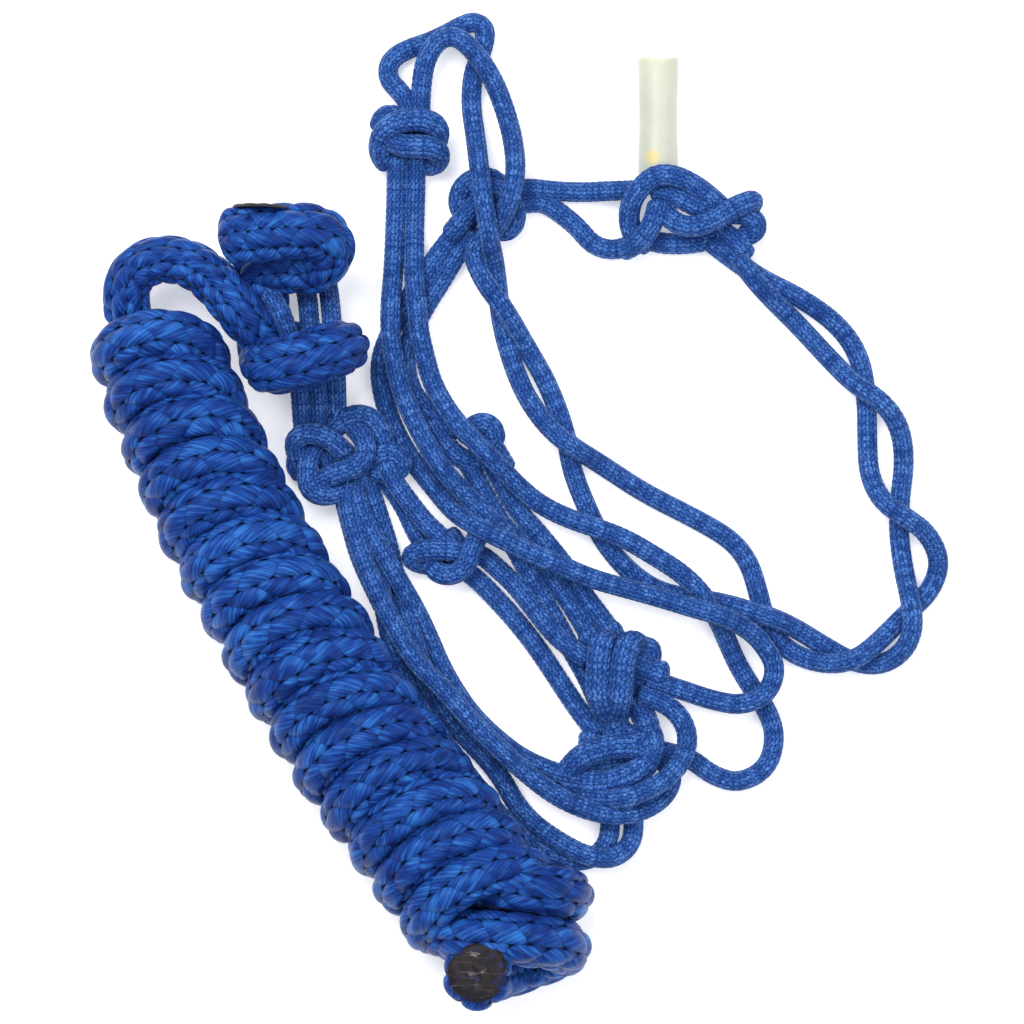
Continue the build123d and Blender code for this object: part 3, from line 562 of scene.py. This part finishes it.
def strand_nodes(n, braid):
    """braid_height again, in nodes: its height, and where on its strand each point is."""
    columns, _, _, slant = braid
    uv = n.add("ShaderNodeUVMap", uv_map="strands")
    split = n.add("ShaderNodeSeparateXYZ")
    n.put(uv.outputs[0], split.inputs[0])
    column, run = split.outputs[0], split.outputs[1]
    across = n.math("FRACT", column)
    odd = n.math("FLOORED_MODULO", n.math("FLOOR", column), 2.0)
    lean = n.math("MULTIPLY_ADD", odd, -2.0 * slant, slant)
    shift = n.math("MULTIPLY", n.math("SUBTRACT", across, 0.5), lean)
    place = n.math("ADD", run, n.math("MULTIPLY_ADD", odd, 0.5, shift))
    along = n.math("FRACT", place)
    sideways = n.math("MULTIPLY_ADD", across, 2.0, -1.0)
    lengthwise = n.math("MULTIPLY_ADD", along, 2.0, -1.0)
    width = n.math("SUBTRACT", 1.0, n.math("POWER", n.math("ABSOLUTE", sideways), 2.0))
    length = n.math("SUBTRACT", 1.0, n.math("POWER", n.math("ABSOLUTE", lengthwise), 3.0))
    own_column = n.math("FLOORED_MODULO", n.math("FLOOR", column), columns)
    own = n.add("ShaderNodeTexWhiteNoise", noise_dimensions="3D")
    n.put(n.vector(own_column, n.math("FLOOR", place)), own.inputs["Vector"])
    return SimpleNamespace(
        run=run, across=across, along=along, lean=lean, sideways=sideways,
        lengthwise=lengthwise, height=n.math("MULTIPLY", width, length), own=own.outputs["Value"],
    )


def fibre_nodes(n, strand, fibres_across):
    """Fibres a little askew to their strand, and how light the yarn is with its clumps, the lightest
    partly painted sheen highlights.
    """
    askew = n.math("MULTIPLY", n.math("MULTIPLY", strand.lengthwise, strand.lean), FIBRE_SLANT)
    fine = n.math("MULTIPLY", n.math("ADD", strand.across, askew), fibres_across)
    stretched = n.vector(fine, n.math("MULTIPLY", strand.along, 1.3), strand.own)
    fibres = n.noise(stretched, 1.0, 3.0)
    clumps = n.noise(n.vector(n.math("MULTIPLY", fine, 0.2), strand.run, strand.own), 1.0, 2.0)
    lit = n.math(
        "ADD", n.math("MULTIPLY", fibres, FIBRE_SHARE), n.math("MULTIPLY", clumps, CLUMP_SHARE),
    )
    own = n.math("MULTIPLY_ADD", strand.own, STRAND_SHARE, -STRAND_SHARE / 2)
    return fibres, n.math("ADD", lit, own)


def gap_shade_mask_nodes(n, strand, seam_shade, groove_shade):
    """1 on a strand's crown, 0 in the pits at its ends and the seams along its sides: there the colour
    is painted shade, and sheen and specular are dimmed.
    """
    edge = n.math("POWER", n.math("ABSOLUTE", strand.sideways), 4.0)
    end = n.math("POWER", n.math("ABSOLUTE", strand.lengthwise), 6.0)
    pit = n.math("MULTIPLY", end, n.math("MULTIPLY_ADD", edge, 1.0 - groove_shade, groove_shade))
    return n.ease(n.math("ADD", pit, n.math("MULTIPLY", edge, seam_shade)), 0.75, 0.05)


def braid_material(name, braid, colours, fibres_across, seam_shade, groove_shade, rough, sheen, bump):
    """Fibres on the crown of each strand, painted shade in the gaps between. Colours go from the
    painted shade in the gaps to the palest fibres, which partly stand for painted sheen highlights.
    """
    painted_gap_shade, shade, body, light = colours
    n = Nodes(name)
    strand = strand_nodes(n, braid)
    fibres, lit = fibre_nodes(n, strand, fibres_across)
    crown = gap_shade_mask_nodes(n, strand, seam_shade, groove_shade)
    # Random fibre tone from dark to pale; the pale end partly stands for painted sheen highlights.
    yarn = n.ramp(lit, [(0.37, shade), (0.65, light), (0.51, body)])
    # Base colour: painted shade in the pits and seams, yarn on the crowns.
    n.look("Base Color", n.mix(crown, painted_gap_shade, yarn))
    n.bump(n.math("ADD", strand.height, n.math("MULTIPLY", fibres, FIBRE_RELIEF)), bump, 0.8)
    n.look("Roughness", n.math("MULTIPLY_ADD", fibres, 0.2, rough - 0.1))
    n.look("Sheen Weight", n.math("MULTIPLY", crown, sheen))
    n.look("Specular IOR Level", n.math("MULTIPLY", crown, 0.28))
    n.look("Sheen Roughness", 0.2)
    n.look("Sheen Tint", (0.45, 0.72, 1.0, 1))
    n.look("Specular Tint", (0.2, 0.55, 1.0, 1))
    return n.material


def halter_cord_material():
    # Painted shade in the gaps first, then the yarn's dark, body and pale colours; the pale one is
    # partly a painted sheen highlight.
    colours = (
        (0.003, 0.006, 0.03), (0.010, 0.036, 0.18), (0.026, 0.086, 0.34), (0.09, 0.23, 0.62),
    )
    return braid_material(
        "halter_cord", HALTER_BRAID, colours, fibres_across=4.0,
        seam_shade=0.44, groove_shade=0.4, rough=0.6, sheen=0.4, bump=0.3 * MM,
    )


def lead_braid_material():
    # Painted shade in the gaps first, then the yarn's dark, body and pale colours; the pale one is
    # partly a painted sheen highlight.
    colours = (
        (0.002, 0.004, 0.016), (0.006, 0.018, 0.125), (0.012, 0.050, 0.275), (0.030, 0.160, 0.53),
    )
    return braid_material(
        "lead_braid", HANK_BRAID, colours, fibres_across=16.0,
        seam_shade=0.34, groove_shade=0.25, rough=0.42, sheen=0.1, bump=0.5 * MM,
    )


def melted_end_material():
    """Rope melted to a dark skin: a few pale creases, and blue where it melted less."""
    n = Nodes("melted_end")
    place = n.add("ShaderNodeTexCoord").outputs["Object"]
    stretched = n.add("ShaderNodeMapping")
    stretched.inputs["Rotation"].default_value = (0, 0, 0.45)
    stretched.inputs["Scale"].default_value = (60, 230, 60)
    n.put(place, stretched.inputs["Vector"])
    waves = n.noise(stretched.outputs[0], 1.0, 1.5)
    crease = n.math("ABSOLUTE", n.math("SUBTRACT", waves, 0.53))
    broken = n.math("ADD", crease, n.math("MULTIPLY", n.noise(place, 260.0), 0.02))
    pale, dark, darker = (0.3, 0.29, 0.3), (0.014, 0.010, 0.014), (0.008, 0.006, 0.010)
    skin = n.ramp(broken, [(0.0, pale), (0.014, dark), (0.2, darker)])
    patches = n.ease(n.noise(place, 320.0), 0.60, 0.75)
    n.look("Base Color", n.mix(patches, skin, (0.012, 0.014, 0.13)))
    n.bump(waves, 0.4 * MM)
    n.look("Roughness", 0.55)
    n.look("Specular IOR Level", 0.2)
    return n.material


def sleeve_plastic_material():
    """Milky plastic with a yellowed spot where it enters the knot."""
    n = Nodes("sleeve_plastic")
    place = n.add("ShaderNodeTexCoord").outputs["Object"]
    mottle = n.noise(place, 90.0, 3.0)
    milky = n.ramp(mottle, [(0.3, (0.55, 0.58, 0.47)), (0.7, (0.62, 0.64, 0.54))])
    away = n.add("ShaderNodeVectorMath", operation="DISTANCE")
    n.put(place, away.inputs[0])
    away.inputs[1].default_value = SLEEVE_SPOT
    spot = n.ease(away.outputs["Value"], 1.0 * MM, 3.4 * MM, 0.75, 0.0)
    n.look("Base Color", n.mix(spot, milky, (0.80, 0.62, 0.20)))
    n.look("Roughness", 0.38)
    n.look("Subsurface Weight", 0.5)
    n.look("Subsurface Radius", (0.003, 0.003, 0.002))
    n.look("Subsurface Scale", 1.0)
    return n.material


def sleeve_profile(start, stop, outer, rows=60, rim_steps=6):
    """Places along the sleeve, radii there and shares of its length: out, over the rim, back in."""
    profile = []
    for row in range(rows + 1):
        share = row / rows
        flare = 0.25 * MM * math.exp(-((1 - share) / 0.06) ** 2)
        dent = 0.12 * MM * math.sin(share * 9)
        profile.append((start + share * (stop - start), outer + flare + dent, share))
    inside = [(y, r - SLEEVE_WALL, share) for y, r, share in reversed(profile)]
    rim_y, rim_r, _ = profile[-1]
    half_wall = SLEEVE_WALL / 2
    for step in range(1, rim_steps):
        angle = math.pi * step / rim_steps
        profile.append(
            (rim_y + half_wall * math.sin(angle), rim_r - half_wall * (1 - math.cos(angle)), 1.0)
        )
    return profile + inside


def plastic_sleeve(material):
    """A soft tube, a little out of round, whose cut rim flares unevenly."""
    turns = 96
    lo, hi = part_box("crown_sleeve")
    x, z = (lo[0] + hi[0]) / 2, (lo[2] + hi[2]) / 2
    places = []
    for y, r, share in sleeve_profile(lo[1], hi[1], (hi[0] - lo[0]) / 2):
        for step in range(turns):
            angle = 2 * math.pi * step / turns
            ragged = 0.35 * MM * share**12 * math.sin(3 * angle + 0.7)
            wide = r * (1 + 0.02 * math.cos(2 * angle))
            places.append((x + wide * math.cos(angle), y + ragged, z + r * math.sin(angle)))
    tube = shown("crown_sleeve_tube", ring_mesh("sleeve", places, turns), material)
    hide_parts("crown_sleeve")
    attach(tube, "halter")


def melted_disc(name, seal, material, body, node):
    """The melted skin of a cut end: a thin puddled disc with a wavy rim and wrinkles."""
    turns, rings = 72, 18
    centre, normal, radii = seal
    lengthwise = Vector(normal).normalized()
    first = lengthwise.orthogonal().normalized() if abs(lengthwise.z) > 0.9 else Vector((0, 0, 1))
    second = lengthwise.cross(first)
    places = []
    for ring in range(rings + 1):
        share = ring / rings
        for step in range(turns):
            angle = 2 * math.pi * step / turns
            rim = 1 + 0.035 * math.sin(3 * angle + 1) + 0.02 * math.sin(7 * angle)
            sideways = share * rim
            place = first * (radii[0] * sideways * math.cos(angle))
            place += second * (radii[1] * sideways * math.sin(angle))
            wave = math.sin(place.x * 1500 + 2 * math.sin(place.y * 600 + place.z * 500))
            lift = 0.15 * wave * (1 - share**4) + 1.2 * math.sqrt(max(0, 1 - share**6))
            places.append(Vector(centre) + place + lengthwise * (lift * MM))
    disc = shown(name, ring_mesh(name, places, turns, inside_out=True), material)
    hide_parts(node)
    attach(disc, body)
    return disc


def halter_cords(material):
    knotted_in = [link for links in KNOT_LINKS.values() for link in links]
    for name, route in ROUTES.items():
        if name in knotted_in:
            continue
        line = smooth_line(route, CORD_STEP)
        mesh = braided_mesh(name, line, CORD_D / 2, HALTER_BRAID, CORD_POINTS)
        cord = shown(f"{name}_braid", mesh, material)
        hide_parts(name)
        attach(cord, "halter")


def knots(material):
    for name, loops in KNOTS.items():
        links = KNOT_LINKS.get(name, ())
        radius = KNOT_SWELL.get(name, USUAL_KNOT_SWELL) * CORD_D / 2
        meshes = []
        for loop in loops + [ROUTES[link] for link in links]:
            line = smooth_line(loop, KNOT_STEP)
            meshes.append(braided_mesh(name, line, radius, HALTER_BRAID, CORD_POINTS))
        knot = joined(f"{name}_loops", meshes, material)
        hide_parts(name, *links)
        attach(knot, "halter")


def blend_between(ends, share):
    return ends[0] + (ends[1] - ends[0]) * share


def wind_hank():
    """Control points of the hank: its start, the turns about its bent axis, then its last loops."""
    axis = np.array(HANK_AXIS, float)
    run = distances(axis)
    points = list(HANK_START)
    first = -int(HANK_BEFORE * TURN_STEPS)
    last = int((HANK_TURNS - HANK_AFTER) * TURN_STEPS)
    for index in range(first, last):
        angle = 2 * math.pi * index / TURN_STEPS
        along = HANK_FIRST + HANK_PITCH * index / TURN_STEPS - HANK_LEAN * math.cos(angle)
        share = along / run[-1]
        middle, above, below = (
            np.array([np.interp(place, run, axis[:, k]) for k in (0, 1)])
            for place in (along, along - AXIS_REACH, along + AXIS_REACH)
        )
        ahead = (below - above) / np.linalg.norm(below - above)
        reach = blend_between(HANK_HALF_WIDTH, share) * math.sin(angle)
        height = blend_between(HANK_MIDDLE_HEIGHT, share)
        height += blend_between(HANK_HALF_HEIGHT, share) * math.cos(angle)
        points.append((middle[0] - ahead[1] * reach, middle[1] + ahead[0] * reach, height))
    return points + HANK_END


def hank_swell(line):
    """How thick the hank's rope is against its size, all along it."""
    run = distances(line)
    left = run[-1] - run
    swell = 1.05 + 0.1 / (1 + np.exp((left - 160 * MM) / (15 * MM)))    # looser last turns
    swell += 0.36 * np.exp(-((left - 6 * MM) / (11 * MM)) ** 2)        # spread at its cut end
    swell -= 0.1 * np.exp(-(run / (14 * MM)) ** 4)                     # slim inside the run's end
    return swell


def run_swell(line):
    """The free run is thicker from its hitch on, where it is slack."""
    run = distances(line)
    share = run / run[-1]
    return 1.04 + 0.2 / (1 + np.exp(-(share - 0.42) * 30))


def lead_hank(material, melted):
    line = smooth_line(wind_hank(), HANK_STEP)
    mesh = braided_mesh(
        "lead_hank", line, LEAD_D / 2, HANK_BRAID, LEAD_POINTS, hank_swell(line),
    )
    rope = shown("lead_hank_rope", mesh, material)
    seal = melted_disc("lead_end_melt", HANK_SEAL, melted, "hank", "lead_end_seal")
    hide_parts("lead_hank", "lead_end_loops", "lead_end_stub")
    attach(rope, "hank")


def lead_run(material, melted):
    line = smooth_line(LEAD_RUN, RUN_STEP)
    mesh = braided_mesh("lead_run", line, LEAD_D / 2, RUN_BRAID, LEAD_POINTS, run_swell(line))
    rope = shown("lead_run_rope", mesh, material)
    seal = melted_disc("lead_run_melt", RUN_SEAL, melted, "halter", "lead_run_seal")
    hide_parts("lead_rope_run")
    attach(rope, "halter")


def tail_ends(material):
    """The two ends of the halter cord, side by side in the sleeve."""
    lo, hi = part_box("crown_tail_ends")
    quarter = (hi[0] - lo[0]) / 4
    height = (lo[2] + hi[2]) / 2
    meshes = []
    for side in (-1, 1):
        x = (lo[0] + hi[0]) / 2 + side * quarter
        line = np.linspace((x, lo[1], height), (x, hi[1], height), TAIL_RINGS)
        meshes.append(braided_mesh("tail", line, quarter, HALTER_BRAID, CORD_POINTS))
    ends = joined("crown_tail_braids", meshes, material)
    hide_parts("crown_tail_ends")
    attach(ends, "halter")


def camera():
    data = bpy.data.cameras.new("camera")
    data.sensor_width = SENSOR_WIDTH
    data.lens = VIEW_HEIGHT * data.sensor_width / VIEW_WIDTH
    view = bpy.data.objects.new("camera", data)
    view.location = (*VIEW_CENTRE, VIEW_HEIGHT)
    bpy.context.scene.collection.objects.link(view)
    bpy.context.scene.camera = view


def floor():
    n = Nodes("floor")
    n.look("Base Color", (0.95, 0.95, 0.95, 1))
    n.look("Roughness", 0.9)
    n.look("Emission Color", (1, 1, 1, 1))
    n.look("Emission Strength", 0.4)
    mesh = bpy.data.meshes.new("floor")
    signs = ((-1, -1), (1, -1), (1, 1), (-1, 1))
    corners = [(x * FLOOR_REACH, y * FLOOR_REACH, 0) for x, y in signs]
    mesh.from_pydata(corners, [], [(0, 1, 2, 3)])
    shown("floor", mesh, n.material)


def lights():
    world = bpy.data.worlds.new("studio")
    world.use_nodes = True
    background = world.node_tree.nodes["Background"]
    background.inputs["Color"].default_value = (1, 1, 1, 1)
    background.inputs["Strength"].default_value = 0.4
    bpy.context.scene.world = world
    for name, place, size, power in LIGHTS:
        data = bpy.data.lights.new(name, "AREA")
        data.size = size
        data.energy = power
        light = bpy.data.objects.new(name, data)
        light.location = place
        light.rotation_euler = (-Vector(place)).to_track_quat("-Z", "Y").to_euler()
        bpy.context.scene.collection.objects.link(light)
    bpy.context.scene.view_settings.view_transform = "Standard"


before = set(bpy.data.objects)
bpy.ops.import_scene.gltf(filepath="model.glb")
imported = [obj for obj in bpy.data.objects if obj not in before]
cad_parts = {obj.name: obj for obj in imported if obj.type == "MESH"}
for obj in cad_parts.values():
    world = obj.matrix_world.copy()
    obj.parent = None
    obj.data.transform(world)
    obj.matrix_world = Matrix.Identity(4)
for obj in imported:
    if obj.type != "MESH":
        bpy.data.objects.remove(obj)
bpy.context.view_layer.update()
camera()
halter = halter_cord_material()
lead = lead_braid_material()
halter_cords(halter)
knots(halter)
melted = melted_end_material()
lead_hank(lead, melted)
lead_run(lead, melted)
plastic_sleeve(sleeve_plastic_material())
tail_ends(halter)
floor()
lights()
